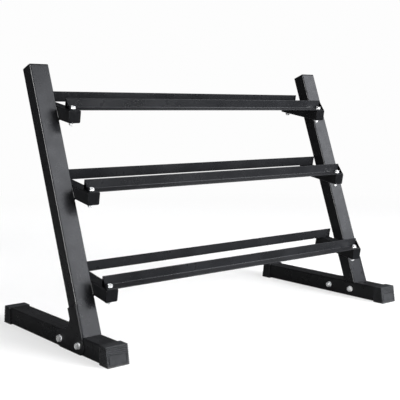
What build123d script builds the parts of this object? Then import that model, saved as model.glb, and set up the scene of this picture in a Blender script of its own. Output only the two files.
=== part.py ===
from build123d import *
import os
from math import atan, cos, radians, sin, sqrt, tan

# Three-tier dumbbell rack, millimetres, +Z up. X runs along the tiers and Y runs back from the
# user's side. The origin is on the floor, in the middle of the feet.

# ---- driving dimensions -------------------------------------------------------------------------
rack_length = 1150.0       # between the outer faces of the two foot tubes
foot_span = 588.0          # front to back at the floor, over the boots

foot_width = 60.0          # foot tube section, X
foot_height = 50.0         # foot tube section, Z
foot_wall = 2.0
foot_corner = 4.5          # outside corner radius

boot_side = 4.0            # rubber on each side of the tube
boot_sole = 2.0            # rubber under and over the tube
boot_end = 4.0             # rubber over the tube's end, at the top
boot_depth = 40.0          # front to back at the floor
boot_flare = 8.0           # how far the end face slopes out from top to floor
boot_corner = 3.5          # outside corner radius
boot_edge = 1.2            # rounding of the end face's rim
boot_grooves = 10          # grip grooves up each side
boot_groove_height = 2.2
boot_groove_depth = 0.9
boot_panel_inset = 7.5     # from the boot's sides to the smooth panel on its end
boot_panel_low = 5.0       # height of the panel's lower edge
boot_panel_grooves = 6     # grooves that stop short of the panel, the ones above run right across
boot_panel_line = 1.4      # width of the line around the panel

upright_width = 60.0       # upright tube section, X
upright_depth = 45.0       # upright tube section, front to back
upright_wall = 2.0
upright_corner = 4.5
upright_length = 768.0     # along the front edge, from the foot to the square-cut top
upright_lean = 20.0        # degrees back from vertical
upright_toe = 168.0        # front edge of the upright's base, ahead of the middle of the foot

plug_plate = 4.0           # top plug outside the tube
plug_depth = 14.0          # top plug inside the tube
plug_rim = 1.5             # rounding of the plate's outer rim
plug_gap = 0.3             # clearance between a plug and the tube's bore
plug_wall = 2.0

arm_width = 38.0           # shelf arm tube section, X
arm_height = 36.0          # shelf arm tube section, top to bottom
arm_wall = 2.0
arm_corner = 4.0
arm_length = 175.0         # over the end plugs
arm_slope = 10.0           # degrees, the tiers tip forward to the user
arm_plug_plate = 3.0
arm_plug_depth = 5.0
arm_plug_rim = 0.8

rail_leg = 30.0            # equal angle section
rail_thickness = 3.0
rail_root = 3.0            # inside fillet of the angle
rail_toe = 1.4             # rounding of the legs' tips
rail_end_gap = 3.0         # from a rail's end to the upright

# height of the arms' top front edge, and their reach ahead of the upright's front face
tiers = {"top": (647.0, 64.0), "middle": (427.0, 77.0), "bottom": (175.0, 70.0)}

gusset_thickness = 3.0
gusset_rise = 88.0         # how far the gusset climbs the upright, along its front edge
gusset_margin = 24.0       # steel around the foot bolts
gusset_toe = 20.0          # radius of the bottom front corner
gusset_flare = 40.0        # height above the foot where the back edge leaves the upright

foot_bolt_front = 150.0    # front foot bolt, ahead of the middle of the foot
foot_bolt_pitch = 97.0     # front bolt to rear bolt

bolt_hole_gap = 0.5        # holes over a bolt's radius
washer_gap = 0.2           # washers over a bolt's radius
thread_gap = 0.1           # nuts over a bolt's radius, the thread isn't cut

# fasteners: shank diameter, across flats, head and nut heights, washer, and shank past the nut
m8 = {"shank": 8.0, "flats": 13.0, "head": 5.3, "nut": 6.5, "washer": 16.0, "plate": 1.6, "tip": 2.5}
m10 = {"shank": 10.0, "flats": 16.0, "head": 6.4, "nut": 8.0, "washer": 20.0, "plate": 2.0, "tip": 4.0}

# ---- worked out from the values above -----------------------------------------------------------
lean = radians(upright_lean)
slope = radians(arm_slope)
sides = {"left": -1, "right": 1}

foot_top = boot_sole + foot_height
foot_mid_z = boot_sole + foot_height / 2
foot_x = rack_length / 2 - foot_width / 2
foot_tube_length = foot_span - 2 * (boot_flare + boot_end)
foot_bolt_ys = [-foot_bolt_front, -foot_bolt_front + foot_bolt_pitch]

upright_x = rack_length / 2 - upright_width / 2
upright_inner = rack_length / 2 - upright_width
arm_x = upright_inner - arm_width / 2
rail_length = 2 * (upright_inner - rail_end_gap)
rail_bolt_alongs = [rail_leg / 2, arm_length - rail_leg / 2]

os.makedirs("parts", exist_ok=True)


def write(piece, name):
    piece.part.label = name
    export_step(piece.part, f"parts/{name}.step")


def upright_front(z):
    """Y of the uprights' front face at height z."""
    return -upright_toe + (z - foot_top) * tan(lean)


def upright_plane(x, along):
    """Plane square to an upright, on its centre line, a distance along from the foot's top."""
    y = -upright_toe + upright_depth / 2 * cos(lean) + along * sin(lean)
    z = foot_top - upright_depth / 2 * sin(lean) + along * cos(lean)
    return Plane(origin=(x, y, z), x_dir=(1, 0, 0), z_dir=(0, sin(lean), cos(lean)))


def tier_point(tier, along, up):
    """Y and Z of a point on a tier: along its slope from the arms' front end, up off the arms' top."""
    height, reach = tiers[tier]
    y = upright_front(height) - reach
    return y + along * cos(slope) - up * sin(slope), height + along * sin(slope) + up * cos(slope)


def arm_plane(x, tier, along):
    """Plane square to an arm, on its centre line, looking back up the slope."""
    y, z = tier_point(tier, along, -arm_height / 2)
    return Plane(origin=(x, y, z), x_dir=(1, 0, 0), z_dir=(0, cos(slope), sin(slope)))


def slope_plane(x, tier, along, up):
    """Plane lying on a tier's slope and facing up, at a height off the arms' top."""
    y, z = tier_point(tier, along, up)
    return Plane(origin=(x, y, z), x_dir=(1, 0, 0), z_dir=(0, -sin(slope), cos(slope)))


def tube_section(width, depth, wall, corner):
    RectangleRounded(width, depth, corner)
    RectangleRounded(width - 2 * wall, depth - 2 * wall, corner - wall, mode=Mode.SUBTRACT)


def plug_section(width, depth, wall, corner):
    """Hollow section that slides into a tube's bore with the plug's clearance."""
    inset = wall + plug_gap
    tube_section(width - 2 * inset, depth - 2 * inset, plug_wall, max(corner - inset, plug_wall + 0.1))


def hexagon(flats, base, height, both_rims):
    """Hexagon standing on a level of the open part, its rims turned down as on a bolt's head."""
    corner = flats / sqrt(3)
    flat = flats / 2 * 0.97
    drop = (corner - flat) * tan(radians(30))
    top = base + height
    lower_rim = [(flat, base), (corner, base + drop)] if both_rims else [(corner, base)]
    with BuildSketch(Plane.XY.offset(base)) as outline:
        RegularPolygon(flats / 2, 6, major_radius=False)
    extrude(outline.sketch, amount=height)
    with BuildSketch(Plane.XZ) as profile:
        Polygon((0, base), *lower_rim, (corner, top - drop), (flat, top), (0, top), align=None)
    revolve(profile.sketch, axis=Axis.Z, mode=Mode.INTERSECT)


def make_bolt(size, grip):
    """Hexagon bolt with its head on the XY plane and its plain shank hanging below."""
    with BuildPart() as piece:
        hexagon(size["flats"], 0, size["head"], both_rims=False)
        with BuildSketch(Plane.XY):
            Circle(size["shank"] / 2)
        extrude(amount=-(grip + size["nut"] + size["tip"]))
        chamfer(piece.edges().sort_by(Axis.Z)[0], length=size["shank"] / 10)
    return piece.part


def make_washer(size):
    """Plain washer lying on the XY plane."""
    with BuildPart() as piece:
        with BuildSketch(Plane.XY):
            Circle(size["washer"] / 2)
            Circle(size["shank"] / 2 + washer_gap, mode=Mode.SUBTRACT)
        extrude(amount=size["plate"])
        outer_rim = piece.edges().group_by(Axis.Z)[-1].sort_by(SortBy.LENGTH)[-1]
        chamfer(outer_rim, length=size["plate"] / 5)
    return piece.part


def make_nut(size):
    """Hexagon nut hanging below the XY plane."""
    with BuildPart() as piece:
        hexagon(size["flats"], -size["nut"], size["nut"], both_rims=True)
        with BuildSketch(Plane.XY):
            Circle(size["shank"] / 2 + thread_gap)
        extrude(amount=-size["nut"], mode=Mode.SUBTRACT)
    return piece.part


def write_group(one, planes, name):
    """Copies of one fastener on a list of planes, each a solid of its own."""
    with BuildPart() as group:
        with Locations(*planes):
            add(one)
    write(group, name)


# ---- feet and their rubber boots ----------------------------------------------------------------
boot_width = foot_width + 2 * boot_side
boot_height = foot_height + 2 * boot_sole
groove_pitch = boot_height / (boot_grooves + 1)
groove_ys = [groove_pitch * (i + 1) for i in range(boot_grooves)]
boot_slant = atan(boot_flare / boot_height)
panel_width = boot_width - 2 * boot_panel_inset
panel_high = groove_pitch * (boot_panel_grooves + 0.5)

for side, sign in sides.items():
    with BuildPart() as foot_tube:
        with BuildSketch(Plane.XZ.offset(-foot_tube_length / 2)):
            with Locations((sign * foot_x, foot_mid_z)):
                tube_section(foot_width, foot_height, foot_wall, foot_corner)
        extrude(amount=foot_tube_length)
        with BuildSketch(Plane.YZ.offset(sign * foot_x)):
            with Locations(*[(y, foot_mid_z) for y in foot_bolt_ys]):
                Circle(m10["shank"] / 2 + bolt_hole_gap)
        extrude(amount=foot_width, both=True, mode=Mode.SUBTRACT)
    write(foot_tube, f"{side}_foot_tube")

    for end, facing in {"front": 1, "rear": -1}.items():
        # upright plane through the boot's outermost edge on the floor, looking into the tube, with
        # local Y up, and the sloping end face through the same edge
        outermost = Plane(
            origin=(sign * foot_x, -facing * foot_span / 2, 0), x_dir=(-facing, 0, 0), z_dir=(0, facing, 0)
        )
        end_face = Plane(
            origin=outermost.origin, x_dir=(-facing, 0, 0),
            z_dir=(0, facing * cos(boot_slant), -sin(boot_slant)),
        )
        with BuildPart() as boot:
            with BuildSketch(outermost):
                with Locations((0, boot_height / 2)):
                    RectangleRounded(boot_width, boot_height, boot_corner)
            extrude(amount=boot_depth)
            split(bisect_by=end_face, keep=Keep.TOP)
            fillet(boot.faces().sort_by(Axis.Y)[0 if facing == 1 else -1].edges(), radius=boot_edge)
            with BuildSketch(outermost.offset(boot_flare + boot_end)):
                with Locations((0, foot_mid_z)):
                    RectangleRounded(foot_width, foot_height, foot_corner)
            extrude(amount=boot_depth, mode=Mode.SUBTRACT)
            # grip grooves along both sides, turning the corner onto the end face
            with BuildSketch(outermost):
                for groove_y in groove_ys:
                    for across in (-1, 1):
                        with Locations((across * boot_width / 2, groove_y)):
                            Rectangle(2 * boot_groove_depth, boot_groove_height)
            extrude(amount=boot_depth, mode=Mode.SUBTRACT)
            with BuildSketch(end_face):
                for groove_y in groove_ys[:boot_panel_grooves]:
                    for across in (-1, 1):
                        groove_x = across * (boot_width - boot_panel_inset) / 2
                        with Locations((groove_x, groove_y / cos(boot_slant))):
                            Rectangle(boot_panel_inset, boot_groove_height)
                for groove_y in groove_ys[boot_panel_grooves:]:
                    with Locations((0, groove_y / cos(boot_slant))):
                        Rectangle(boot_width, boot_groove_height)
                with Locations((0, (boot_panel_low + panel_high) / 2 / cos(boot_slant))):
                    panel_height = panel_high - boot_panel_low
                    RectangleRounded(panel_width, panel_height, boot_corner)
                    Rectangle(
                        panel_width - 2 * boot_panel_line, panel_height - 2 * boot_panel_line,
                        mode=Mode.SUBTRACT,
                    )
            extrude(amount=boot_groove_depth, mode=Mode.SUBTRACT)
        write(boot, f"{side}_{end}_boot")

# ---- uprights, their top plugs and the gussets that bolt them to the feet ------------------------
rear_lobe_y = foot_bolt_ys[1]
gusset_low = foot_mid_z - gusset_margin
gusset_high = foot_mid_z + gusset_margin
gusset_flare_z = foot_top + gusset_flare
upright_thickness_y = upright_depth / cos(lean)
gusset_top_front = (-upright_toe + gusset_rise * sin(lean), foot_top + gusset_rise * cos(lean))
gusset_top_rear = (
    gusset_top_front[0] + upright_depth * cos(lean),
    gusset_top_front[1] - upright_depth * sin(lean),
)
gusset_bottom_front = (upright_front(gusset_low), gusset_low)

for side, sign in sides.items():
    with BuildPart() as upright:
        with BuildSketch(upright_plane(sign * upright_x, -upright_depth)):
            tube_section(upright_width, upright_depth, upright_wall, upright_corner)
        extrude(amount=upright_depth + upright_length)
        split(bisect_by=Plane.XY.offset(foot_top), keep=Keep.TOP)
    write(upright, f"{side}_upright")

    with BuildPart() as top_plug:
        with BuildSketch(upright_plane(sign * upright_x, upright_length)):
            RectangleRounded(upright_width, upright_depth, upright_corner)
        extrude(amount=plug_plate)
        top_rim = top_plug.faces().filter_by(upright_plane(0, 0)).sort_by(Axis.Z)[-1].edges()
        fillet(top_rim, radius=plug_rim)
        with BuildSketch(upright_plane(sign * upright_x, upright_length)):
            plug_section(upright_width, upright_depth, upright_wall, upright_corner)
        extrude(amount=-plug_depth)
    write(top_plug, f"{side}_top_plug")

    with BuildPart() as gusset:
        with BuildSketch(Plane.YZ.offset(sign * rack_length / 2)) as outline:
            with BuildLine():
                Polyline(
                    (upright_front(gusset_flare_z) + upright_thickness_y, gusset_flare_z),
                    gusset_top_rear,
                    gusset_top_front,
                    gusset_bottom_front,
                    (rear_lobe_y, gusset_low),
                )
                ThreePointArc(
                    (rear_lobe_y, gusset_low),
                    (rear_lobe_y + gusset_margin, foot_mid_z),
                    (rear_lobe_y, gusset_high),
                )
                TangentArc(
                    (rear_lobe_y, gusset_high),
                    (upright_front(gusset_flare_z) + upright_thickness_y, gusset_flare_z),
                    tangent=(-1, 0),
                )
            make_face()
            fillet(outline.vertices().sort_by_distance(gusset_bottom_front)[0], radius=gusset_toe)
            with Locations(*[(y, foot_mid_z) for y in foot_bolt_ys]):
                Circle(m10["shank"] / 2 + bolt_hole_gap, mode=Mode.SUBTRACT)
        extrude(amount=sign * gusset_thickness)
    write(gusset, f"{side}_gusset")

# ---- shelf arms and their end plugs ---------------------------------------------------------------
arm_tube_length = arm_length - 2 * arm_plug_plate

for tier in tiers:
    for side, sign in sides.items():
        with BuildPart() as arm:
            with BuildSketch(arm_plane(sign * arm_x, tier, arm_plug_plate)):
                tube_section(arm_width, arm_height, arm_wall, arm_corner)
            extrude(amount=arm_tube_length)
            with BuildSketch(*[slope_plane(sign * arm_x, tier, along, 0) for along in rail_bolt_alongs]):
                Circle(m8["shank"] / 2 + bolt_hole_gap)
            extrude(amount=-arm_height, mode=Mode.SUBTRACT)
        write(arm, f"{side}_{tier}_arm")

        for end, along, outward in (("front", arm_plug_plate, -1), ("rear", arm_length - arm_plug_plate, 1)):
            mouth = arm_plane(sign * arm_x, tier, along)
            with BuildPart() as plug:
                with BuildSketch(mouth):
                    RectangleRounded(arm_width, arm_height, arm_corner)
                extrude(amount=outward * arm_plug_plate)
                plate_ends = plug.faces().filter_by(mouth).sort_by(Axis.Y)
                fillet(plate_ends[0 if outward == -1 else -1].edges(), radius=arm_plug_rim)
                with BuildSketch(mouth):
                    plug_section(arm_width, arm_height, arm_wall, arm_corner)
                extrude(amount=-outward * arm_plug_depth)
            write(plug, f"{side}_{tier}_arm_{end}_plug")

# ---- shelf rails ----------------------------------------------------------------------------------
for tier in tiers:
    for row, heel, outward in (("front", rail_leg, -1), ("rear", arm_length - rail_leg, 1)):
        # end section of the angle: local X back up the slope, local Y off the arms, heel at the origin
        y, z = tier_point(tier, heel, 0)
        section = Plane(
            origin=(-rail_length / 2, y, z), x_dir=(0, cos(slope), sin(slope)), z_dir=(1, 0, 0)
        )
        flat_toe = (outward * rail_leg, rail_thickness)
        root = (outward * rail_thickness, rail_thickness)
        upright_toe_point = (outward * rail_thickness, rail_leg)
        with BuildPart() as rail:
            with BuildSketch(section) as angle:
                Polygon(
                    (0, 0), (outward * rail_leg, 0), flat_toe, root, upright_toe_point, (0, rail_leg),
                    align=None,
                )
                fillet(angle.vertices().sort_by_distance(root)[0], radius=rail_root)
                fillet(angle.vertices().sort_by_distance(flat_toe)[0], radius=rail_toe)
                fillet(angle.vertices().sort_by_distance(upright_toe_point)[0], radius=rail_toe)
            extrude(amount=rail_length)
            with BuildSketch(*[
                slope_plane(end * arm_x, tier, heel + outward * rail_leg / 2, 0) for end in (-1, 1)
            ]):
                Circle(m8["shank"] / 2 + bolt_hole_gap)
            extrude(amount=rail_thickness, mode=Mode.SUBTRACT)
        write(rail, f"{tier}_{row}_rail")

# ---- fasteners: each kind is one group of separate solids ------------------------------------------
rail_joints = [
    (sign * arm_x, tier, along) for tier in tiers for sign in sides.values() for along in rail_bolt_alongs
]
above_rail = rail_thickness
below_arm = -arm_height - m8["plate"]
rail_grip = m8["plate"] + rail_thickness + arm_height + m8["plate"]
head_seats = [slope_plane(*joint, above_rail + m8["plate"]) for joint in rail_joints]
upper_washer_seats = [slope_plane(*joint, above_rail) for joint in rail_joints]
nut_seats = [slope_plane(*joint, below_arm) for joint in rail_joints]

write_group(make_bolt(m8, rail_grip), head_seats, "rail_bolts")
write_group(make_washer(m8), upper_washer_seats, "rail_upper_washers")
write_group(make_washer(m8), nut_seats, "rail_lower_washers")
write_group(make_nut(m8), nut_seats, "rail_nuts")


def foot_bolt_planes(x):
    """Planes facing outward at each foot bolt, at a distance from the middle of the rack."""
    return [
        Plane(origin=(sign * x, y, foot_mid_z), x_dir=(0, sign, 0), z_dir=(sign, 0, 0))
        for sign in sides.values()
        for y in foot_bolt_ys
    ]


gusset_outer = rack_length / 2 + gusset_thickness
foot_inner = rack_length / 2 - foot_width
foot_grip = m10["plate"] + gusset_thickness + foot_width + m10["plate"]

write_group(make_bolt(m10, foot_grip), foot_bolt_planes(gusset_outer + m10["plate"]), "foot_bolts")
write_group(make_washer(m10), foot_bolt_planes(gusset_outer), "foot_outer_washers")
write_group(make_washer(m10), foot_bolt_planes(foot_inner - m10["plate"]), "foot_inner_washers")
write_group(make_nut(m10), foot_bolt_planes(foot_inner - m10["plate"]), "foot_nuts")
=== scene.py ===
import math

import bmesh
import bpy
import numpy as np
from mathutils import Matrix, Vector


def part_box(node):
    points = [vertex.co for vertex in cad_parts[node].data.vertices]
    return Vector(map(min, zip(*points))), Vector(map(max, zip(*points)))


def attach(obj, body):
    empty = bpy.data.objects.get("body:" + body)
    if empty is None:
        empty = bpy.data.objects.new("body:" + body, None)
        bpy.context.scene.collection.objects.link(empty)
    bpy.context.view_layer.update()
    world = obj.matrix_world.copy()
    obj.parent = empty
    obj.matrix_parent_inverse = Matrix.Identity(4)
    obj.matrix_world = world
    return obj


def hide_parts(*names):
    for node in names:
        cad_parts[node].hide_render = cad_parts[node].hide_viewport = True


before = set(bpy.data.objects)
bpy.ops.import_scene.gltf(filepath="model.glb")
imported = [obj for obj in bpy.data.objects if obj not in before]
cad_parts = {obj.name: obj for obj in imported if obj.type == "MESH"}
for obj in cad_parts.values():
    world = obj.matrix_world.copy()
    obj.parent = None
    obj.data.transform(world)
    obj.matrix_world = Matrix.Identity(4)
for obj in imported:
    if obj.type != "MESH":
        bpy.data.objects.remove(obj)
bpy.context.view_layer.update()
print("frame loaded:", len(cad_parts), "nodes")

# metres, +Z up, X along the tiers, Y back from the user's side
sides = {"left": -1, "right": 1}
tiers = ("top", "middle", "bottom")

# how far the uprights lean back, and how far the tiers tip down to the user
slants = {
    "upright": math.radians(20),
    "tier": math.radians(10),
}

# hexagon bolts, nuts and washers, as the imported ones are: an M8 set and an M10 set
fastenerSizes = {
    "rail": {"shank": 0.008, "flats": 0.013, "head": 0.0053, "nut": 0.0065, "washer": 0.016,
             "plate": 0.0016, "tip": 0.0025, "pitch": 0.00125},
    "foot": {"shank": 0.010, "flats": 0.016, "head": 0.0064, "nut": 0.0080, "washer": 0.020,
             "plate": 0.0020, "tip": 0.0040, "pitch": 0.0015},
}
fastenerGaps = {"nut": 0.0001, "washer": 0.0002}  # their holes over a bolt's radius

xAxis = np.array([1.0, 0.0, 0.0])
sameSpot = 1e-7  # points closer than this are one
smallestCorner = 2e-5


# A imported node's lowest and highest corner.
def boxOf(node):
    low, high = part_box(node)
    return np.array(low), np.array(high)


# Seen from the side an upright is a strip that leans back, cut level at the foot and square at the
# top, so its lowest front point and its box give its length and depth.
def uprightFrame(side):
    low, high = boxOf(f"{side}_upright")
    s, c = math.sin(slants["upright"]), math.cos(slants["upright"])
    length = (high[2] - low[2]) / c
    return {
        "toe": np.array([(low[0] + high[0]) / 2, low[1], low[2]]),  # front edge at the foot
        "along": np.array([0, s, c]),
        "back": np.array([0, c, -s]),
        "length": length,
        "depth": (high[1] - low[1] - length * s) / c,
        "width": high[0] - low[0],
    }


# Seen from the side an arm is a rectangle turned by the tier's slope, so the two sides of its box
# give its length and height. Its origin is the top front edge of the tube.
def armFrame(side, tier):
    low, high = boxOf(f"{side}_{tier}_arm")
    s, c = math.sin(slants["tier"]), math.cos(slants["tier"])
    deep, tall = high[1] - low[1], high[2] - low[2]
    length = (deep * c - tall * s) / (c * c - s * s)
    return {
        "origin": np.array([(low[0] + high[0]) / 2, low[1], high[2] - length * s]),
        "along": np.array([0, c, s]),
        "up": np.array([0, -s, c]),
        "length": length,
        "height": (tall * c - deep * s) / (c * c - s * s),
        "width": high[0] - low[0],
    }


uprights = {side: uprightFrame(side) for side in sides}
arms = {(side, tier): armFrame(side, tier) for side in sides for tier in tiers}
print("upright", uprights["left"]["length"], "arm", arms["left", "top"]["length"])


# Faces of a grid of points whose columns close into a ring, as an array of quads and an array of
# caps. The first and the last row are filled with one cap each, or joined to each other.
def skinFaces(rowCount, columnCount, joined=False):
    grid = np.arange(rowCount * columnCount).reshape(rowCount, columnCount)
    here, below = (grid, np.roll(grid, -1, axis=0)) if joined else (grid[:-1], grid[1:])
    quads = np.stack([here, np.roll(here, -1, axis=1), np.roll(below, -1, axis=1), below], axis=-1)
    caps = np.empty((0, columnCount), int) if joined else np.stack([grid[0][::-1], grid[-1]])
    return quads.reshape(-1, 4), caps


# Local points carried to a place given by its origin and two of its axes.
def placed(points, origin, localX, localZ):
    localX, localZ = (np.asarray(a, float) / np.linalg.norm(a) for a in (localX, localZ))
    axes = np.stack([localX, np.cross(localZ, localX), localZ])
    return np.asarray(points, float).reshape(-1, 3) @ axes + np.asarray(origin, float)


# One object from (points, faces) shells, its normals turned outward, smooth up to an angle.
def makePiece(name, shells, material, replaced=(), smoothUpTo=32):
    points, faces, start = [], [], 0
    for shellPoints, (quads, caps) in shells:
        points.append(shellPoints)
        faces += (quads + start).tolist() + (caps + start).tolist()
        start += len(shellPoints)
    mesh = bpy.data.meshes.new(name)
    mesh.from_pydata(np.concatenate(points).tolist(), [], faces)
    work = bmesh.new()
    work.from_mesh(mesh)
    bmesh.ops.remove_doubles(work, verts=work.verts, dist=sameSpot)
    bmesh.ops.recalc_face_normals(work, faces=work.faces)
    work.to_mesh(mesh)
    work.free()
    mesh.shade_smooth()
    mesh.set_sharp_from_angle(angle=math.radians(smoothUpTo))
    piece = bpy.data.objects.new(name, mesh)
    bpy.context.scene.collection.objects.link(piece)
    mesh.materials.append(material)
    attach(piece, "root")
    if replaced:
        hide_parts(*replaced)
    return piece


# Once round a rounded rectangle: an arc at each corner and evenly spaced points between the arcs.
# An inset outline keeps the same points in the same order, nearer to the middle.
def roundedOutline(width, depth, corner, inset=0.0, arcSteps=6, sideSteps=1, endSteps=1):
    half = np.array([width / 2 - inset, depth / 2 - inset])
    radius = max(corner - inset, smallestCorner)
    turn = np.radians(np.linspace(0, 90, arcSteps + 1))
    arcs = []
    for quarter, sign in enumerate(((1, 1), (-1, 1), (-1, -1), (1, -1))):
        angle = turn + quarter * math.pi / 2
        middle = np.array(sign) * (half - radius)
        arcs.append(middle + radius * np.stack([np.cos(angle), np.sin(angle)], axis=1))
    runs = []
    for quarter, arc in enumerate(arcs):
        steps = endSteps if quarter % 2 == 0 else sideSteps
        share = np.linspace(0, 1, steps + 1)[1:-1, None]
        runs += [arc, arc[-1] * (1 - share) + arcs[(quarter + 1) % 4][0] * share]
    return np.concatenate(runs)


# A closed outline moved inward by a distance, each point along the mean of its two edges' normals.
def insetOutline(outline, distance):
    edge = np.roll(outline, -1, axis=0) - outline
    edge /= np.linalg.norm(edge, axis=1)[:, None]
    inward = np.stack([-edge[:, 1], edge[:, 0]], axis=1)
    mean = inward + np.roll(inward, 1, axis=0)
    mean /= (mean * (inward + np.roll(inward, 1, axis=0))).sum(axis=1)[:, None] / 2
    return outline + mean * distance


# A flat plate or bar: an outline carried along Z, with a quarter round of a given radius where each
# end meets the sides.
def easedPrism(outline, thickness, ease, easeSteps=4):
    turn = np.linspace(0, math.pi / 2, easeSteps + 1)
    rows = [(ease * (1 - math.sin(a)), ease * (1 - math.cos(a))) for a in turn]
    rows += [(inset, thickness - z) for inset, z in rows[::-1]]
    points = [
        np.column_stack([insetOutline(outline, inset), np.full(len(outline), z)]) for inset, z in rows
    ]
    return np.concatenate(points), skinFaces(len(rows), len(outline))


# Small kit for one node material: add() makes a node and sets its inputs, join() links two of them.
def startMaterial(name):
    material = bpy.data.materials.new(name)
    material.use_nodes = True
    tree = material.node_tree
    tree.nodes.clear()

    def add(kind, settings=None, **inputs):
        node = tree.nodes.new("ShaderNode" + kind)
        for key, value in (settings or {}).items():
            setattr(node, key, value)
        for key, value in inputs.items():
            node.inputs[key.replace("_", " ")].default_value = value
        return node

    def join(source, target, key, output=0):
        tree.links.new(source.outputs[output], target.inputs[key])
        return target

    return material, add, join


# Noise on Object coordinates, with its scale in lumps per metre.
def noiseOn(add, join, place, scale, detail=2.0, roughness=0.5):
    noise = add("TexNoise", Scale=scale, Detail=detail, Roughness=roughness)
    return join(place, noise, "Vector", 3)


# A noise spread between two values.
def spread(add, join, source, low, high, fromLow=0.3, fromHigh=0.7):
    ramp = add("MapRange", From_Min=fromLow, From_Max=fromHigh, To_Min=low, To_Max=high)
    return join(source, ramp, "Value")


# Two colours mixed by a value.
def blendColours(add, join, first, second, factor, output=0):
    mix = add("Mix", {"data_type": "RGBA"})
    mix.inputs[6].default_value = (*first, 1)
    mix.inputs[7].default_value = (*second, 1)
    return join(factor, mix, 0, output)


# A colour laid over a surface's colour so far, where a value says.
def layColour(add, join, under, colour, factor, output=0):
    mix = add("Mix", {"data_type": "RGBA"})
    mix.inputs[7].default_value = (*colour, 1)
    join(under, mix, 6, 2)
    return join(factor, mix, 0, output)


# Two values multiplied.
def product(add, join, first, second):
    times = add("Math", {"operation": "MULTIPLY"})
    join(first, times, 0)
    return join(second, times, 1)


# Bumps of several sizes, one on top of the other: (noise, height in metres) pairs.
def stackBumps(add, join, layers):
    bump = None
    for source, height in layers:
        layer = add("Bump", Strength=1.0, Distance=height)
        join(source, layer, "Height")
        if bump:
            join(bump, layer, "Normal")
        bump = layer
    return bump


powderCoat = {
    "dark": (0.0062, 0.0065, 0.0073),
    "light": (0.0110, 0.0114, 0.0127),
    "toneScale": 9,  # lumps per metre, as every scale here
    "roughness": (0.25, 0.33),
    "glossScale": 34,
    "specular": 0.36,
    "peelScale": 520,  # orange peel
    "peelHeight": 0.00005,
    "grainScale": 2600,
    "grainHeight": 0.00001,
    "dust": (0.060, 0.058, 0.054),
    "dustAmount": 0.12,
    "dustScale": 60,
    "dustDulls": 1.5,  # roughness added by a full covering of dust
    "worn": (0.05, 0.05, 0.052),
    "streaks": (900, 16, 60),  # across, up the slope, and off it
    "wornDepth": 0.00004,
}


# Gloss black powder coat: orange peel and a finer grain, small shifts of tone and gloss, and a
# little dust on what faces up.
def powderCoatMaterial(name, rubbed=0.0):
    material, add, join = startMaterial(name)
    place = add("TexCoord")
    tone = spread(add, join, noiseOn(add, join, place, powderCoat["toneScale"], 4), 0, 1)
    colour = blendColours(add, join, powderCoat["dark"], powderCoat["light"], tone)
    upward = add("SeparateXYZ")
    join(add("NewGeometry"), upward, "Vector", 1)
    facing = add("MapRange", {"interpolation_type": "SMOOTHSTEP"}, From_Min=0.6, From_Max=1.0, To_Max=1.0)
    join(upward, facing, "Value", 2)
    specks = noiseOn(add, join, place, powderCoat["dustScale"], 6, 0.7)
    settled = spread(add, join, specks, 0, powderCoat["dustAmount"], 0.42, 0.75)
    dust = product(add, join, facing, settled)
    coat = layColour(add, join, colour, powderCoat["dust"], dust)
    sheen = noiseOn(add, join, place, powderCoat["glossScale"], 3)
    gloss = spread(add, join, sheen, *powderCoat["roughness"])
    dulled = add("Math", {"operation": "MULTIPLY_ADD"})
    join(dust, dulled, 0)
    dulled.inputs[1].default_value = powderCoat["dustDulls"]
    join(gloss, dulled, 2)
    layers = [
        (noiseOn(add, join, place, powderCoat["peelScale"], 1), powderCoat["peelHeight"]),
        (noiseOn(add, join, place, powderCoat["grainScale"], 1), powderCoat["grainHeight"]),
    ]
    if rubbed:  # faint streaks up the slope, where cast heads slide in and out
        stretch = add("Mapping", Rotation=(slants["tier"], 0, 0), Scale=powderCoat["streaks"])
        join(place, stretch, "Vector", 3)
        streak = add("TexNoise", Scale=1.0, Detail=3.0, Roughness=0.6)
        join(stretch, streak, "Vector")
        marks = spread(add, join, streak, 0, rubbed, 0.60, 0.72)
        coat = layColour(add, join, coat, powderCoat["worn"], product(add, join, facing, marks))
        layers.append((marks, powderCoat["wornDepth"]))
    surface = add("BsdfPrincipled", IOR=1.45, Specular_IOR_Level=powderCoat["specular"])
    join(coat, surface, "Base Color", 2)
    join(dulled, surface, "Roughness")
    join(stackBumps(add, join, layers), surface, "Normal")
    join(surface, add("OutputMaterial"), "Surface")
    return material


bootRubber = {
    "dark": (0.018, 0.0186, 0.020),
    "light": (0.030, 0.031, 0.033),
    "cloudScale": 70,
    "cloudHeight": 0.0001,
    "roughness": (0.46, 0.62),
    "specular": 0.12,
    "grainScale": 1900,
    "grainHeight": 0.00006,
    "scuff": (0.13, 0.127, 0.12),
    "scuffScale": 320,
    "scuffMost": 0.5,
    "scuffTop": 0.009,  # scuffs fade out this far above the floor
}


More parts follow.
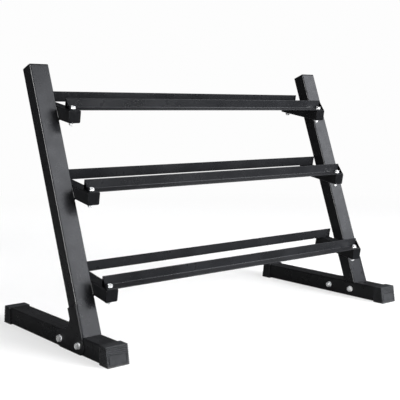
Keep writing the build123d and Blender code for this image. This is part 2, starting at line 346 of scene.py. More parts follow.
# Moulded black rubber: a fine grain, cloudy tone, and pale scuffing near the floor.
def bootRubberMaterial():
    material, add, join = startMaterial("bootRubber")
    place = add("TexCoord")
    cloud = noiseOn(add, join, place, bootRubber["cloudScale"], 5, 0.6)
    tone = spread(add, join, cloud, 0, 1)
    colour = blendColours(add, join, bootRubber["dark"], bootRubber["light"], tone)
    height = join(place, add("SeparateXYZ"), "Vector", 3)
    low = add("MapRange", {"interpolation_type": "SMOOTHSTEP"}, From_Min=0.0,
              From_Max=bootRubber["scuffTop"], To_Min=bootRubber["scuffMost"], To_Max=0.0)
    join(height, low, "Value", 2)
    rubbed = spread(add, join, noiseOn(add, join, place, bootRubber["scuffScale"], 5, 0.7), 0, 1, 0.45, 0.65)
    scuffed = layColour(add, join, colour, bootRubber["scuff"], product(add, join, low, rubbed))
    surface = add("BsdfPrincipled", IOR=1.5, Specular_IOR_Level=bootRubber["specular"])
    join(scuffed, surface, "Base Color", 2)
    join(spread(add, join, cloud, *bootRubber["roughness"]), surface, "Roughness")
    grain = noiseOn(add, join, place, bootRubber["grainScale"], 2)
    layers = [(cloud, bootRubber["cloudHeight"]), (grain, bootRubber["grainHeight"])]
    join(stackBumps(add, join, layers), surface, "Normal")
    join(surface, add("OutputMaterial"), "Surface")
    return material


plugPlastic = {
    "dark": (0.0030, 0.0032, 0.0036),
    "light": (0.0058, 0.0060, 0.0067),
    "flowScale": 120,
    "roughness": (0.34, 0.46),
    "specular": 0.14,
    "grainScale": 1500,
    "grainHeight": 0.00005,
}


# Satin moulded plastic: an even leather-fine grain with slight flow marks.
def plugPlasticMaterial():
    material, add, join = startMaterial("plugPlastic")
    place = add("TexCoord")
    flow = noiseOn(add, join, place, plugPlastic["flowScale"], 3, 0.55)
    tone = spread(add, join, flow, 0, 1)
    colour = blendColours(add, join, plugPlastic["dark"], plugPlastic["light"], tone)
    grain = add("TexVoronoi", {"feature": "SMOOTH_F1"}, Scale=plugPlastic["grainScale"], Smoothness=0.6)
    join(place, grain, "Vector", 3)
    surface = add("BsdfPrincipled", IOR=1.5, Specular_IOR_Level=plugPlastic["specular"])
    join(colour, surface, "Base Color", 2)
    join(spread(add, join, flow, *plugPlastic["roughness"]), surface, "Roughness")
    join(stackBumps(add, join, [(grain, plugPlastic["grainHeight"])]), surface, "Normal")
    join(surface, add("OutputMaterial"), "Surface")
    return material


zincPlate = {
    "bright": (0.92, 0.93, 0.94),
    "dull": (0.70, 0.71, 0.72),
    "warm": (0.80, 0.77, 0.70),
    "warmAmount": 0.4,
    "warmScale": 90,
    "blotchScale": 260,
    "metallic": 0.55,
    "roughness": (0.42, 0.20),  # of the dull blotches and of the bright ones
    "grainScale": 3200,
    "grainHeight": 0.00003,
}


# Bright zinc plating: blotches of a duller and a warmer tone, and a crystalline grain.
def zincPlateMaterial():
    material, add, join = startMaterial("zincPlate")
    place = add("TexCoord")
    blotch = noiseOn(add, join, place, zincPlate["blotchScale"], 4, 0.6)
    tone = spread(add, join, blotch, 0, 1, 0.35, 0.6)
    colour = blendColours(add, join, zincPlate["dull"], zincPlate["bright"], tone)
    warmSpots = noiseOn(add, join, place, zincPlate["warmScale"], 2)
    warmth = spread(add, join, warmSpots, 0, zincPlate["warmAmount"], 0.5, 0.7)
    warmed = layColour(add, join, colour, zincPlate["warm"], warmth)
    grain = noiseOn(add, join, place, zincPlate["grainScale"], 2)
    surface = add("BsdfPrincipled", Metallic=zincPlate["metallic"])
    join(warmed, surface, "Base Color", 2)
    join(spread(add, join, blotch, *zincPlate["roughness"]), surface, "Roughness")
    join(stackBumps(add, join, [(grain, zincPlate["grainHeight"])]), surface, "Normal")
    join(surface, add("OutputMaterial"), "Surface")
    return material


materials = {
    "coat": powderCoatMaterial("powderCoat"),
    "railCoat": powderCoatMaterial("powderCoatOnRails", rubbed=0.35),
    "rubber": bootRubberMaterial(),
    "plastic": plugPlasticMaterial(),
    "zinc": zincPlateMaterial(),
}
for node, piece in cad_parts.items():
    piece.data.materials.clear()
    piece.data.materials.append(materials["coat"])
print("materials made:", len(materials))


bootShape = {
    "flare": 0.0080,  # how far the end slopes out from top to floor
    "corner": 0.0035,
    "rim": 0.0014,  # rounding where the sides meet the end
    "mouth": 0.0007,  # rounding of the sleeve's open edge
    "wall": (0.00395, 0.00195),  # beside, and above and below the tube
    "endWall": 0.0120,  # at the floor
    "grooves": 10,
    "grooveHeight": 0.0031,
    "grooveDepth": 0.0020,
    "panelInset": 0.0075,
    "panelLow": 0.0050,
    "panelGrooves": 6,  # grooves that stop short of the panel, the ones above run right across
    "panelLine": 0.0016,
    "panelLineDepth": 0.0020,
    "ribRise": 0.0008,  # the ribs reach full height this far outside the panel
    "flatFrom": 40,  # power of the share of half the width, near 1 only on the flat sides
    "grooveSteps": 8,  # points up each groove's pitch
    "acrossSteps": 40,
    "ringStep": 0.0005,
}


# The way round a boot's section: from inside the sleeve, round its mouth by two quarter rounds, down
# its outside, over the rim by another, and across the end to the middle. Each row is its inset beside
# and above, its distance from the end, and its shares of the slope, the side cuts and the end cuts.
def bootRows(depth, middle):
    beside, above = bootShape["wall"]
    mouth, rim = bootShape["mouth"], bootShape["rim"]
    quarter = np.linspace(0, math.pi / 2, 5)
    rows = [(beside, above, bootShape["endWall"], 0, 0, 0), (beside, above, depth - mouth, 0, 0, 0)]
    rows += [
        (beside - mouth * (1 - math.cos(a)), above - mouth * (1 - math.cos(a)),
         depth - mouth * (1 - math.sin(a)), 0, 0, 0) for a in quarter[1:]
    ]
    rows += [
        (mouth * (1 - math.sin(a)), mouth * (1 - math.sin(a)), depth - mouth * (1 - math.cos(a)), 0, 0, 0)
        for a in quarter
    ]
    rows += [(0, 0, depth - 0.003, 0, 1, 0), (0, 0, depth * 0.4, 0, 1, 0)]
    rows += [
        (rim * (1 - math.cos(a)), rim * (1 - math.cos(a)), rim * (1 - math.sin(a)), 1,
         math.cos(a), math.sin(a)) for a in np.linspace(0, math.pi / 2, 7)
    ]
    insets = np.arange(rim, middle - 0.0003, bootShape["ringStep"])[1:]
    return rows + [(inset, inset, 0, 1, 0, 1) for inset in insets]


# A rounded box shut at its sloping end, as one outline carried along the rows above. The sides are cut
# by evenly spaced level grooves, each a raised cosine of the height. On the end the grooves reach in
# beside the panel and run right across above it, and the line round the panel is a raised cosine of
# the distance to the panel's edge.
def bootShell(side, end):
    low, high = boxOf(f"{side}_{end}_boot")
    width, depth, height = high - low
    shape = bootShape
    pitch = height / (shape["grooves"] + 1)
    halfWidth, middle = width / 2, height / 2
    panelHigh = pitch * (shape["panelGrooves"] + 0.5)
    panelMiddle = (shape["panelLow"] + panelHigh) / 2

    def groove(up):
        nearest = np.round(up / pitch).clip(1, shape["grooves"]) * pitch
        share = (np.abs(up - nearest) / (shape["grooveHeight"] / 2)).clip(0, 1)
        return shape["grooveDepth"] * (0.5 + 0.5 * np.cos(math.pi * share))

    def endCut(x, up):
        beside = np.abs(x) - (halfWidth - shape["panelInset"])
        above = np.abs(up - panelMiddle) - (panelHigh - shape["panelLow"]) / 2
        outside = np.maximum(beside, above)
        ribbed = (np.maximum(beside, up - panelHigh) / shape["ribRise"]).clip(0, 1)
        share = (np.abs(outside + shape["panelLine"] / 2) / (shape["panelLine"] / 2)).clip(0, 1)
        line = shape["panelLineDepth"] * (0.5 + 0.5 * np.cos(math.pi * share))
        return np.maximum(groove(up) * ribbed, line)

    points = []
    for insetX, insetZ, away, slope, sideShare, endShare in bootRows(depth, middle):
        ring = roundedOutline(
            width - 2 * insetX, height - 2 * insetZ, shape["corner"] - min(insetX, insetZ),
            sideSteps=shape["grooveSteps"] * (shape["grooves"] + 1), endSteps=shape["acrossSteps"],
        )
        x, up = ring[:, 0], ring[:, 1] + middle
        onSide = (np.abs(x) / (halfWidth - insetX)).clip(0, 1) ** shape["flatFrom"]
        x = x - np.sign(x) * groove(up) * onSide * sideShare
        back = away + shape["flare"] * up / height * slope + endCut(x, up) * endShare
        points.append(np.column_stack([x, up, back]))
    # local x across, y up, z into the sleeve from the edge that reaches out furthest
    facing = 1 if end == "front" else -1
    origin = [(low[0] + high[0]) / 2, low[1] if end == "front" else high[1], 0]
    faces = skinFaces(len(points), len(ring))
    return placed(np.concatenate(points), origin, [-facing, 0, 0], [0, facing, 0]), faces


for side in sides:
    for end in ("front", "rear"):
        makePiece(
            f"{side}{end.title()}Boot", [bootShell(side, end)], materials["rubber"],
            [f"{side}_{end}_boot"],
        )
print("boots made")


plugShapes = {
    "upright": {"plate": 0.0040, "rim": 0.0016, "corner": 0.0045, "wall": 0.0020, "gap": 0.0003,
                "depth": 0.014, "skin": 0.0018, "fins": 3, "fin": 0.0006},
    "arm": {"plate": 0.0030, "rim": 0.0010, "corner": 0.0040, "wall": 0.0020, "gap": 0.0003,
            "depth": 0.005, "skin": 0.0014, "fins": 1, "fin": 0.0005},
    "plateEdge": 0.0002,  # bevel under the cap
    "finSteps": 8,
    "hollowTop": 0.0008,  # how far the insert's hollow reaches up into the cap
}


# A cap and its hollow insert in one skin: an outline carried from the middle of the cap over its
# quarter-round rim, under the plate, down the insert's finned outside and up its inside. Each fin is
# a raised cosine of the depth.
def plugShell(shape, width, depth):
    turn = np.linspace(0, math.pi / 2, 6)
    bore, edge = shape["wall"] + shape["gap"], plugShapes["plateEdge"]
    rows = [(share * depth / 2, shape["plate"]) for share in (0.9, 0.5)]
    rows += [
        (shape["rim"] * (1 - math.sin(a)), shape["plate"] - shape["rim"] * (1 - math.cos(a))) for a in turn
    ]
    rows += [(0, edge), (edge, 0), (bore + shape["fin"], 0)]
    share = np.linspace(0, 1, plugShapes["finSteps"] * shape["fins"] + 1)[1:]
    fin = bore + shape["fin"] * (0.5 + 0.5 * np.cos(2 * math.pi * shape["fins"] * share))
    rows += list(zip(fin, -shape["depth"] * share))
    inner, hollow = bore + shape["skin"], plugShapes["hollowTop"]
    rows += [(inner, -shape["depth"]), (inner, hollow), (0.8 * depth / 2, hollow)]
    points = []
    for inset, z in rows:
        ring = roundedOutline(width, depth, shape["corner"], inset, sideSteps=2, endSteps=2)
        points.append(np.column_stack([ring, np.full(len(ring), z)]))
    return np.concatenate(points), skinFaces(len(rows), len(ring))


for side in sides:
    tube = uprights[side]
    top = tube["toe"] + tube["along"] * tube["length"] + tube["back"] * tube["depth"] / 2
    shell, faces = plugShell(plugShapes["upright"], tube["width"], tube["depth"])
    makePiece(
        f"{side}TopPlug", [(placed(shell, top, xAxis, tube["along"]), faces)],
        materials["plastic"], [f"{side}_top_plug"],
    )
    for tier in tiers:
        arm = arms[side, tier]
        shell, faces = plugShell(plugShapes["arm"], arm["width"], arm["height"])
        for end, distance, outward in (("front", 0, -1), ("rear", arm["length"], 1)):
            mouth = arm["origin"] + arm["along"] * distance - arm["up"] * arm["height"] / 2
            makePiece(
                f"{side}{tier.title()}Arm{end.title()}Plug",
                [(placed(shell, mouth, xAxis, outward * arm["along"]), faces)],
                materials["plastic"], [f"{side}_{tier}_arm_{end}_plug"],
            )
print("plugs made")


gussetShape = {
    "rise": 0.088,  # up the upright's front edge
    "margin": 0.024,  # around the rear bolt
    "toe": 0.020,  # radius of the bottom front corner
    "flare": 0.040,  # above the foot, where the rear edge leaves the upright
    "ease": 0.0005,
}


# Points on an arc between two angles, in degrees.
def arcPoints(centre, radius, start, stop, count):
    angle = np.radians(np.linspace(start, stop, count))
    return np.asarray(centre) + radius * np.stack([np.cos(angle), np.sin(angle)], axis=1)


# The corner of a path rounded by an arc that touches both of its sides.
def roundedCorner(before, corner, after, radius, count=10):
    before, corner, after = (np.asarray(p, float) for p in (before, corner, after))
    inward, outward = before - corner, after - corner
    inward, outward = inward / np.linalg.norm(inward), outward / np.linalg.norm(outward)
    half = math.acos(float(inward @ outward)) / 2
    middle = inward + outward
    centre = corner + middle / np.linalg.norm(middle) * radius / math.sin(half)
    first = corner + inward * radius / math.tan(half) - centre
    last = corner + outward * radius / math.tan(half) - centre
    start = math.atan2(first[1], first[0])
    sweep = (math.atan2(last[1], last[0]) - start + math.pi) % (2 * math.pi) - math.pi
    angle = start + sweep * np.linspace(0, 1, count)
    return centre + radius * np.stack([np.cos(angle), np.sin(angle)], axis=1)


# The plate's outline in (Y, Z): square across the upright at the top, down the upright's front edge to
# a rounded toe, along the bottom, round the rear bolt, and back up in one arc to the rear edge.
def gussetOutline(side):
    tube = uprights[side]
    boltLow, boltHigh = boxOf("foot_outer_washers")
    boltY = boltHigh[1] - fastenerSizes["foot"]["washer"] / 2
    boltZ = (boltLow[2] + boltHigh[2]) / 2
    along, back, toe = tube["along"][1:], tube["back"][1:], tube["toe"][1:]
    topFront = toe + along * gussetShape["rise"]
    topRear = topFront + back * tube["depth"]
    flareZ = toe[1] + gussetShape["flare"]
    rearY = toe[0] + (flareZ - toe[1]) * along[0] / along[1] + tube["depth"] / along[1]
    bottom = boltZ - gussetShape["margin"]
    bottomFront = np.array([toe[0] + (bottom - toe[1]) * along[0] / along[1], bottom])
    # the arc leaves the top of the rear lobe level and passes through the flare's start
    lobeTop = np.array([boltY, boltZ + gussetShape["margin"]])
    chord = np.array([rearY, flareZ]) - lobeTop
    radius = (chord @ chord) / (2 * chord[1])
    centre = lobeTop + np.array([0, radius])
    stop = math.degrees(math.atan2(flareZ - centre[1], rearY - centre[0])) % 360
    toeArc = roundedCorner(topFront, bottomFront, (boltY, bottom), gussetShape["toe"])
    lobe = arcPoints((boltY, boltZ), gussetShape["margin"], -90, 90, 24)
    sweep = arcPoints(centre, radius, 270, stop, 20)[1:]
    return np.concatenate([[topFront], toeArc, lobe, sweep, [topRear]])


for side, sign in sides.items():
    low, high = boxOf(f"{side}_gusset")
    points, faces = easedPrism(gussetOutline(side), high[0] - low[0], gussetShape["ease"])
    # the outline's (Y, Z) and the plate's thickness along X
    spot = np.column_stack([low[0] + points[:, 2], points[:, 0], points[:, 1]])
    makePiece(f"{side}Gusset", [(spot, faces)], materials["coat"], [f"{side}_gusset"])
print("gussets made")


railShape = {
    "leg": 0.030,
    "thickness": 0.003,
    "root": 0.003,  # inside fillet
    "toe": 0.0014,  # rounding of the legs' tips
    "heel": 0.0010,
    "arris": 0.0004,  # the legs' outer corners
    "ease": 0.0004,
    "plugPlate": 0.003,  # the arms' end plugs, outside the tubes
    "boltInset": 0.012,  # from the arm tube's end to the bolt
}


# The angle's section as (along the slope, up off the arms): a heel at the origin, one leg flat and
# one standing, with a small round at the heel, a fillet in the root and rounded toes.
def angleSection(outward):
    leg, thick, arris = railShape["leg"], railShape["thickness"], railShape["arris"]
    corners = [
        ((0, 0), railShape["heel"]), ((leg, 0), arris), ((leg, thick), railShape["toe"]),
        ((thick, thick), railShape["root"]), ((thick, leg), railShape["toe"]), ((0, leg), arris),
    ]
    outline = []
    for index, (corner, radius) in enumerate(corners):
        before, after = corners[index - 1][0], corners[(index + 1) % len(corners)][0]
        outline.append(roundedCorner(before, corner, after, radius, 6))
    outline = np.concatenate(outline)
    return outline if outward > 0 else (outline * [-1, 1])[::-1]


for tier in tiers:
    arm = arms["left", tier]
    for row, heel, outward in (
        ("front", railShape["leg"] - railShape["plugPlate"], -1),
        ("rear", arm["length"] + railShape["plugPlate"] - railShape["leg"], 1),
    ):
        low, high = boxOf(f"{tier}_{row}_rail")
        points, faces = easedPrism(angleSection(outward), high[0] - low[0], railShape["ease"], 3)
        corner = arm["origin"] * [0, 1, 1] + arm["along"] * heel
        spot = corner + points[:, :1] * arm["along"] + points[:, 1:2] * arm["up"]
        spot[:, 0] += low[0] + points[:, 2]
        makePiece(
            f"{tier}{row.title()}Rail", [(spot, faces)], materials["railCoat"],
            [f"{tier}_{row}_rail"],
        )
print("rails made")


boltShape = {
    "columns": 48,
    "bevel": math.radians(30),  # the cone that turns down a hexagon's corners
    "flatShare": 0.94,  # the cone starts this far out on the flats
    "dish": 0.0004,  # the forged hollow in the head
    "threadDepth": 0.61,  # of the pitch
    "threadTurns": 6,
    "threadRows": 8,  # rings to each turn
    "runOut": 0.8,  # pitches over which the thread fades at both ends
    "underHead": 0.0003,  # bevel under the head
    "boreSink": 0.0006,  # countersink of a nut's bore
}


# Distance from the axis to a hexagon's side, at each angle.
def hexagonReach(flats, angle):
    return flats / 2 / np.cos((angle + math.pi / 6) % (math.pi / 3) - math.pi / 6)


# Rings of points about Z from rows of (radius, height), where each is a number or one value for
# every angle.
def ringPoints(rows, angle):
    rings = []
    for radius, height in rows:
        radius = radius * np.ones_like(angle)
        height = height * np.ones_like(angle)
        rings.append(np.column_stack([radius * np.cos(angle), radius * np.sin(angle), height]))
    return np.concatenate(rings)


# A hexagon bolt in one skin, its head on the XY plane: a dished top, a cone turned off the corners, the
# flats, a plain shank, and a thread whose radius is a triangle wave of (height / pitch - turn).
def boltShell(size, grip):
    angle = np.linspace(0, 2 * math.pi, boltShape["columns"], endpoint=False)
    reach = hexagonReach(size["flats"], angle)
    flat = size["flats"] / 2 * boltShape["flatShare"]
    head, shank = size["head"], size["shank"] / 2
    rows = [(flat * share, head - boltShape["dish"]) for share in (0.15, 0.5, 0.62)]
    rows += [(flat * 0.70, head), (flat, head)]
    under = boltShape["underHead"]
    rows += [(reach, head - (reach - flat) * math.tan(boltShape["bevel"])), (reach, under)]
    rows += [(reach - under, 0), (shank, 0)]
    pitch, turns = size["pitch"], boltShape["threadTurns"]
    end = -(grip + size["nut"] + size["tip"])
    start = end + turns * pitch
    rows += [(shank, start + 0.0004)]
    deep, fade = pitch * boltShape["threadDepth"], pitch * boltShape["runOut"]
    for z in np.linspace(start, end + pitch * 0.4, turns * boltShape["threadRows"]):
        wave = np.abs((z / pitch - angle / (2 * math.pi)) % 1 - 0.5) * 2
        ease = min(1, (start - z) / fade, (z - end) / fade)
        rows.append((shank - deep * ease * (1 - wave) - 0.00002, z))
    rows += [(shank - deep, end), (shank * 0.3, end)]
    return ringPoints(rows, angle), skinFaces(len(rows), len(angle))


# A hexagon nut hanging below the XY plane, with its corners turned down at both ends and a
# countersunk bore.
def nutShell(size):
    angle = np.linspace(0, 2 * math.pi, boltShape["columns"], endpoint=False)
    reach = hexagonReach(size["flats"], angle)
    flat, bore = size["flats"] / 2 * boltShape["flatShare"], size["shank"] / 2 + fastenerGaps["nut"]
    drop = (reach - flat) * math.tan(boltShape["bevel"])
    sink, tall = boltShape["boreSink"], size["nut"]
    rows = [
        (bore, -sink), (bore + sink, 0), (flat, 0), (reach, -drop),
        (reach, drop - tall), (flat, -tall), (bore + sink, -tall), (bore, sink - tall),
    ]
    return ringPoints(rows, angle), skinFaces(len(rows), len(angle), joined=True)


# A stamped washer lying on the XY plane: rolled over on its upper edges, sharp underneath.
def washerShell(size):
    angle = np.linspace(0, 2 * math.pi, boltShape["columns"], endpoint=False)
    inner, outer, tall = size["shank"] / 2 + fastenerGaps["washer"], size["washer"] / 2, size["plate"]
    roll = tall * 0.35
    turn = np.linspace(0, math.pi / 2, 4)
    rows = [(inner, 0)]
    rows += [(inner + roll * (1 - math.cos(a)), tall - roll * (1 - math.sin(a))) for a in turn]
    rows += [(outer - roll * (1 - math.sin(a)), tall - roll * (1 - math.cos(a))) for a in turn]
    rows += [(outer, 0.0001), (outer - 0.0001, 0)]
    return ringPoints(rows, angle), skinFaces(len(rows), len(angle), joined=True)


# One fastener copied to a list of seats, each given by its origin and the way it faces.
def copiesOf(shell, seats):
    points, faces = shell
    return [(placed(points, origin, localX, outward), faces) for origin, outward, localX in seats]


# A place on each arm over or under the two bolts, at a height off the arm's top.
def armSeats(up):
    seats = []
    for arm in arms.values():
        for along in (railShape["boltInset"], arm["length"] - railShape["boltInset"]):
            seats.append((arm["origin"] + arm["along"] * along + arm["up"] * up, arm["up"], xAxis))
    return seats


# A place beside each foot bolt, facing outward, at a distance from the rack's middle plane.
def footSeats(x):
    low, high = boxOf("foot_outer_washers")
    radius = fastenerSizes["foot"]["washer"] / 2
    return [
        ([sign * x, y, (low[2] + high[2]) / 2], [sign, 0, 0], [0, sign, 0])
        for sign in sides.values() for y in (low[1] + radius, high[1] - radius)
    ]


m8, m10 = fastenerSizes["rail"], fastenerSizes["foot"]
armHeight = arms["left", "top"]["height"]
railTop = railShape["thickness"]
railGrip = m8["plate"] + railTop + armHeight + m8["plate"]
footOuter = boxOf("foot_outer_washers")[1][0]
footInner = boxOf("foot_inner_washers")[1][0]
footGrip = footOuter - footInner + m10["plate"]
fasteners = {
    "railBolts": (boltShell(m8, railGrip), armSeats(railTop + m8["plate"]), "rail_bolts"),
    "railUpperWashers": (washerShell(m8), armSeats(railTop), "rail_upper_washers"),
    "railLowerWashers": (washerShell(m8), armSeats(-armHeight - m8["plate"]), "rail_lower_washers"),
    "railNuts": (nutShell(m8), armSeats(-armHeight - m8["plate"]), "rail_nuts"),
    "footBolts": (boltShell(m10, footGrip), footSeats(footOuter), "foot_bolts"),
    "footOuterWashers": (washerShell(m10), footSeats(footOuter - m10["plate"]), "foot_outer_washers"),
    "footInnerWashers": (washerShell(m10), footSeats(footInner - m10["plate"]), "foot_inner_washers"),
    "footNuts": (nutShell(m10), footSeats(footInner - m10["plate"]), "foot_nuts"),
}
for name, (shell, seats, node) in fasteners.items():
    makePiece(name, copiesOf(shell, seats), materials["zinc"], [node])
print("fasteners made:", len(fasteners))


weldShape = {
    "radius": 0.0028,
    "ripple": 0.10,  # of the radius
    "ripplePitch": 0.0021,
    "bow": 0.6,  # how far a ripple trails at the bead's edges, in ripples
    "wander": 0.05,  # slow change of the radius, as a share of it
    "wanderPitch": 0.011,
    "columns": 16,
    "rowsPerRipple": 5,
    "sink": 0.0012,  # how far in from the upright's edges the beads up an arm lie
}


# A bead laid from one point to another: rings whose radius swells by a cosine of the distance, which
# trails towards the bead's edges, and closes in a half ellipse at both ends.
def weldBead(start, stop, outward, radius):
    start, stop = np.asarray(start, float), np.asarray(stop, float)
    length = np.linalg.norm(stop - start)
    count = max(12, int(length / weldShape["ripplePitch"] * weldShape["rowsPerRipple"]))
    even = np.linspace(0, 1, count)
    distance = (0.9 * even + 0.1 * (0.5 - 0.5 * np.cos(math.pi * even))) * length  # closer at the ends
    angle = np.linspace(0, 2 * math.pi, weldShape["columns"], endpoint=False)
    end = np.minimum(distance, length - distance) / (radius * 1.2)
    body = np.sqrt(1 - (1 - np.clip(end, 0.02, 1)) ** 2)
    wave = distance[:, None] / weldShape["ripplePitch"] - weldShape["bow"] * np.cos(angle)[None]
    wander = 1 + weldShape["wander"] * np.sin(distance / weldShape["wanderPitch"] + start[2] * 90)
    ripple = 1 + weldShape["ripple"] * np.cos(2 * math.pi * wave)
    ring = radius * body[:, None] * wander[:, None] * ripple
    points = np.stack([
        ring * np.cos(angle), ring * np.sin(angle), np.broadcast_to(distance[:, None], ring.shape)
    ], axis=-1)
    return placed(points, start, outward, stop - start), skinFaces(count, len(angle))


# Where a line on an arm, at a height off its top, meets a plane set back from the upright's front.
def crossing(arm, tube, up, setBack):
    base = arm["origin"] + arm["up"] * up
    return float((setBack - (base - tube["toe"]) @ tube["back"]) / (arm["along"] @ tube["back"]))


# Round each arm where it lies against the upright: along its top and bottom, and up both edges.
def armWelds(side, tier):
    arm, tube, sign = arms[side, tier], uprights[side], sides[side]
    joint = tube["toe"][0] - sign * tube["width"] / 2
    inside, outside = joint - sign * 0.0008, joint + sign * 0.0010
    tall, deep, radius = arm["height"], tube["depth"], weldShape["radius"]

    def spot(up, setBack, x):
        point = arm["origin"] + arm["up"] * up + arm["along"] * crossing(arm, tube, up, setBack)
        return np.array([x, point[1], point[2]])

    top, bottom, short, edge = -0.0004, 0.0004 - tall, 0.003, weldShape["sink"]
    lines = [
        (spot(top, short, inside), spot(top, deep - short, inside), arm["up"]),
        (spot(bottom, short, inside), spot(bottom, deep - short, inside), -arm["up"]),
        (spot(-short, edge, outside), spot(short - tall, edge, outside), -tube["back"]),
        (spot(-short, deep - edge, outside), spot(short - tall, deep - edge, outside), tube["back"]),
    ]
    return [weldBead(*line, radius) for line in lines]


# Up the front and rear edges of the upright behind the gusset, and across the gusset's top edge.
def gussetWelds(side):
    tube, sign = uprights[side], sides[side]
    face = tube["toe"][0] + sign * tube["width"] / 2
    deep, rise, radius = tube["depth"], gussetShape["rise"], weldShape["radius"]

    def spot(along, setBack, x):
        point = tube["toe"] + tube["along"] * along + tube["back"] * setBack
        return np.array([x, point[1], point[2]])

    frontX, rearX, topX = face - sign * 0.0010, face - sign * 0.0008, face + sign * 0.0004
    front, rear, top = 0.0014, deep - weldShape["sink"], rise + 0.0004
    rearStart = gussetShape["flare"] + 0.012
    return [
        weldBead(spot(0.004, front, frontX), spot(rise, front, frontX), -tube["back"], radius * 0.9),
        weldBead(spot(rearStart, rear, rearX), spot(rise - 0.006, rear, rearX), tube["back"],
                 radius * 0.65),
        weldBead(spot(top, 0.004, topX), spot(top, deep - 0.006, topX), tube["along"], radius * 0.85),
    ]


for side in sides:
    beads = [bead for tier in tiers for bead in armWelds(side, tier)] + gussetWelds(side)
    makePiece(f"{side}Welds", beads, materials["coat"], smoothUpTo=60)
print("weld beads made")


studio = {
    "background": (0.982, 0.982, 0.982),
    "around": (0.062, 0.062, 0.065),  # the dim room that lights and mirrors in the rack
    "floorHalf": 30.0,
    "floorColour": (0.72, 0.72, 0.72),
    "bounceColour": (0.28, 0.28, 0.28),  # the floor as it lights the rack from below
    "mirroredColour": (0.11, 0.11, 0.11),  # the floor as the coat mirrors it
    "lift": 0.62,  # light the floor gives off by itself, which keeps its shadows pale
    "liftPower": 1.0,
    "fade": (1.5, 4.0),  # the floor turns into plain background between these distances
}
lamps = {
    "key": {"place": (1.95, -2.25, 2.00), "aim": (0, 0, 0.50), "size": (3.0, 2.1), "power": 104,
            "colour": (0.93, 0.95, 1.0), "mirrored": True, "diffused": True},
    "front": {"place": (0.9, -3.2, 0.7), "aim": (0, 0, 0.25), "size": (1.6, 1.2), "power": 300,
              "colour": (1.0, 1.0, 1.0), "mirrored": False, "diffused": True},
    "back": {"place": (0.6, 3.2, 1.9), "aim": (0, 0, 0.40), "size": (2.4, 1.2), "power": 42,
             "colour": (1.0, 1.0, 1.0), "mirrored": False, "diffused": True},
    "side": {"place": (-3.1, -0.9, 0.9), "aim": (-0.57, -0.05, 0.10), "size": (1.4, 1.2), "power": 36,
             "colour": (1.0, 1.0, 1.0), "mirrored": False, "diffused": True},
    "rim": {"place": (-2.70, -1.05, 1.30), "aim": (-0.57, -0.05, 0.45), "size": (0.8, 2.4), "power": 175,
            "colour": (1.0, 1.0, 1.0), "mirrored": True, "diffused": False},
}
overhead = {"power": 1.35, "spread": 60, "tilt": (14, 12)}  # degrees


# A pale floor that fades into the background far out. What it gives back to the rack is dimmer than
# what is seen of it.
def makeFloor():
    half = studio["floorHalf"]
    mesh = bpy.data.meshes.new("floor")
    corners = [(-half, -half, 0), (half, -half, 0), (half, half, 0), (-half, half, 0)]
    mesh.from_pydata(corners, [], [(0, 1, 2, 3)])
    floor = bpy.data.objects.new("floor", mesh)
    bpy.context.scene.collection.objects.link(floor)
    material, add, join = startMaterial("paleFloor")
    path = add("LightPath")  # its outputs: 0 seen directly, 2 by a matte surface, 3 in a gloss
    bounced = blendColours(add, join, studio["floorColour"], studio["bounceColour"], path, 2)
    mirrored = layColour(add, join, bounced, studio["mirroredColour"], path, 3)
    matte = add("BsdfDiffuse", Roughness=0.5)
    join(mirrored, matte, "Color", 2)
    glow = add("Emission", Color=(*studio["background"], 1), Strength=studio["liftPower"])
    lift = add("Math", {"operation": "MULTIPLY"})
    lift.inputs[1].default_value = studio["lift"]
    join(path, lift, 0)
    surface = add("MixShader")
    join(lift, surface, 0)
    join(matte, surface, 1)
    join(glow, surface, 2)
    distance = add("VectorMath", {"operation": "LENGTH"})
    join(add("TexCoord"), distance, 0, 3)
    fade = add("MapRange", {"interpolation_type": "SMOOTHSTEP"}, From_Min=studio["fade"][0],
               From_Max=studio["fade"][1])
    join(distance, fade, "Value", 1)
    plain = add("Emission", Color=(*studio["background"], 1))
    both = add("MixShader")
    join(product(add, join, fade, path), both, 0)
    join(surface, both, 1)
    join(plain, both, 2)
    join(both, add("OutputMaterial"), "Surface")
    mesh.materials.append(material)


# Puts a lamp at a place and turns it towards a target, by the yaw and pitch of the line between.
def aimLamp(holder, place, target):
    direction = np.asarray(target, float) - np.asarray(place, float)
    yaw = math.atan2(direction[0], direction[1])
    pitch = math.atan2(direction[2], math.hypot(direction[0], direction[1]))
    holder.location = place
    holder.rotation_euler = (math.pi / 2 + pitch, 0, -yaw)


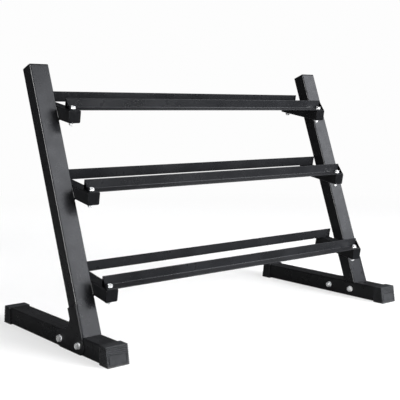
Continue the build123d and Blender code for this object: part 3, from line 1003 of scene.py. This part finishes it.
# One wide soft sun overhead, and the lamps as soft boxes.
def makeLights():
    sun = bpy.data.lights.new("overhead", "SUN")
    sun.energy = overhead["power"]
    sun.angle = math.radians(overhead["spread"])
    holder = bpy.data.objects.new("overhead", sun)
    holder.rotation_euler = (math.radians(overhead["tilt"][0]), math.radians(overhead["tilt"][1]), 0)
    holder.visible_glossy = False
    bpy.context.scene.collection.objects.link(holder)
    for name, lamp in lamps.items():
        light = bpy.data.lights.new(name, "AREA")
        light.shape = "RECTANGLE"
        light.size, light.size_y = lamp["size"]
        light.energy = lamp["power"]
        light.color = lamp["colour"]
        holder = bpy.data.objects.new(name, light)
        holder.visible_glossy = lamp["mirrored"]
        holder.visible_diffuse = lamp["diffused"]
        bpy.context.scene.collection.objects.link(holder)
        aimLamp(holder, lamp["place"], lamp["aim"])


# Seen straight on the surroundings are near white, everything else meets a dim room.
def makeWorld():
    world = bpy.data.worlds.new("studio")
    bpy.context.scene.world = world
    world.use_nodes = True
    tree = world.node_tree
    tree.nodes.clear()
    seen = tree.nodes.new("ShaderNodeBackground")
    seen.inputs["Color"].default_value = (*studio["background"], 1)
    around = tree.nodes.new("ShaderNodeBackground")
    around.inputs["Color"].default_value = (*studio["around"], 1)
    path = tree.nodes.new("ShaderNodeLightPath")
    mix = tree.nodes.new("ShaderNodeMixShader")
    output = tree.nodes.new("ShaderNodeOutputWorld")
    tree.links.new(path.outputs["Is Camera Ray"], mix.inputs[0])
    tree.links.new(around.outputs[0], mix.inputs[1])
    tree.links.new(seen.outputs[0], mix.inputs[2])
    tree.links.new(mix.outputs[0], output.inputs["Surface"])


# the camera stands at the front left, a little below the tops of the uprights
cameraSetup = {
    "place": (-1.639, -1.968, 0.648),
    "yaw": 39.08,  # degrees from +Y towards +X
    "down": 6.36,  # degrees
    "lens": 72.6,
    "sensor": 36,
}


# A long lens, level across, turned by its yaw and looking a little down.
def makeCamera():
    data = bpy.data.cameras.new("camera")
    data.lens = cameraSetup["lens"]
    data.sensor_width = cameraSetup["sensor"]
    camera = bpy.data.objects.new("camera", data)
    camera.location = cameraSetup["place"]
    camera.rotation_euler = (math.radians(90 - cameraSetup["down"]), 0, math.radians(-cameraSetup["yaw"]))
    bpy.context.scene.collection.objects.link(camera)
    bpy.context.scene.camera = camera


makeFloor()
makeLights()
makeWorld()
makeCamera()
bpy.context.scene.view_settings.view_transform = "Standard"
print("studio made")
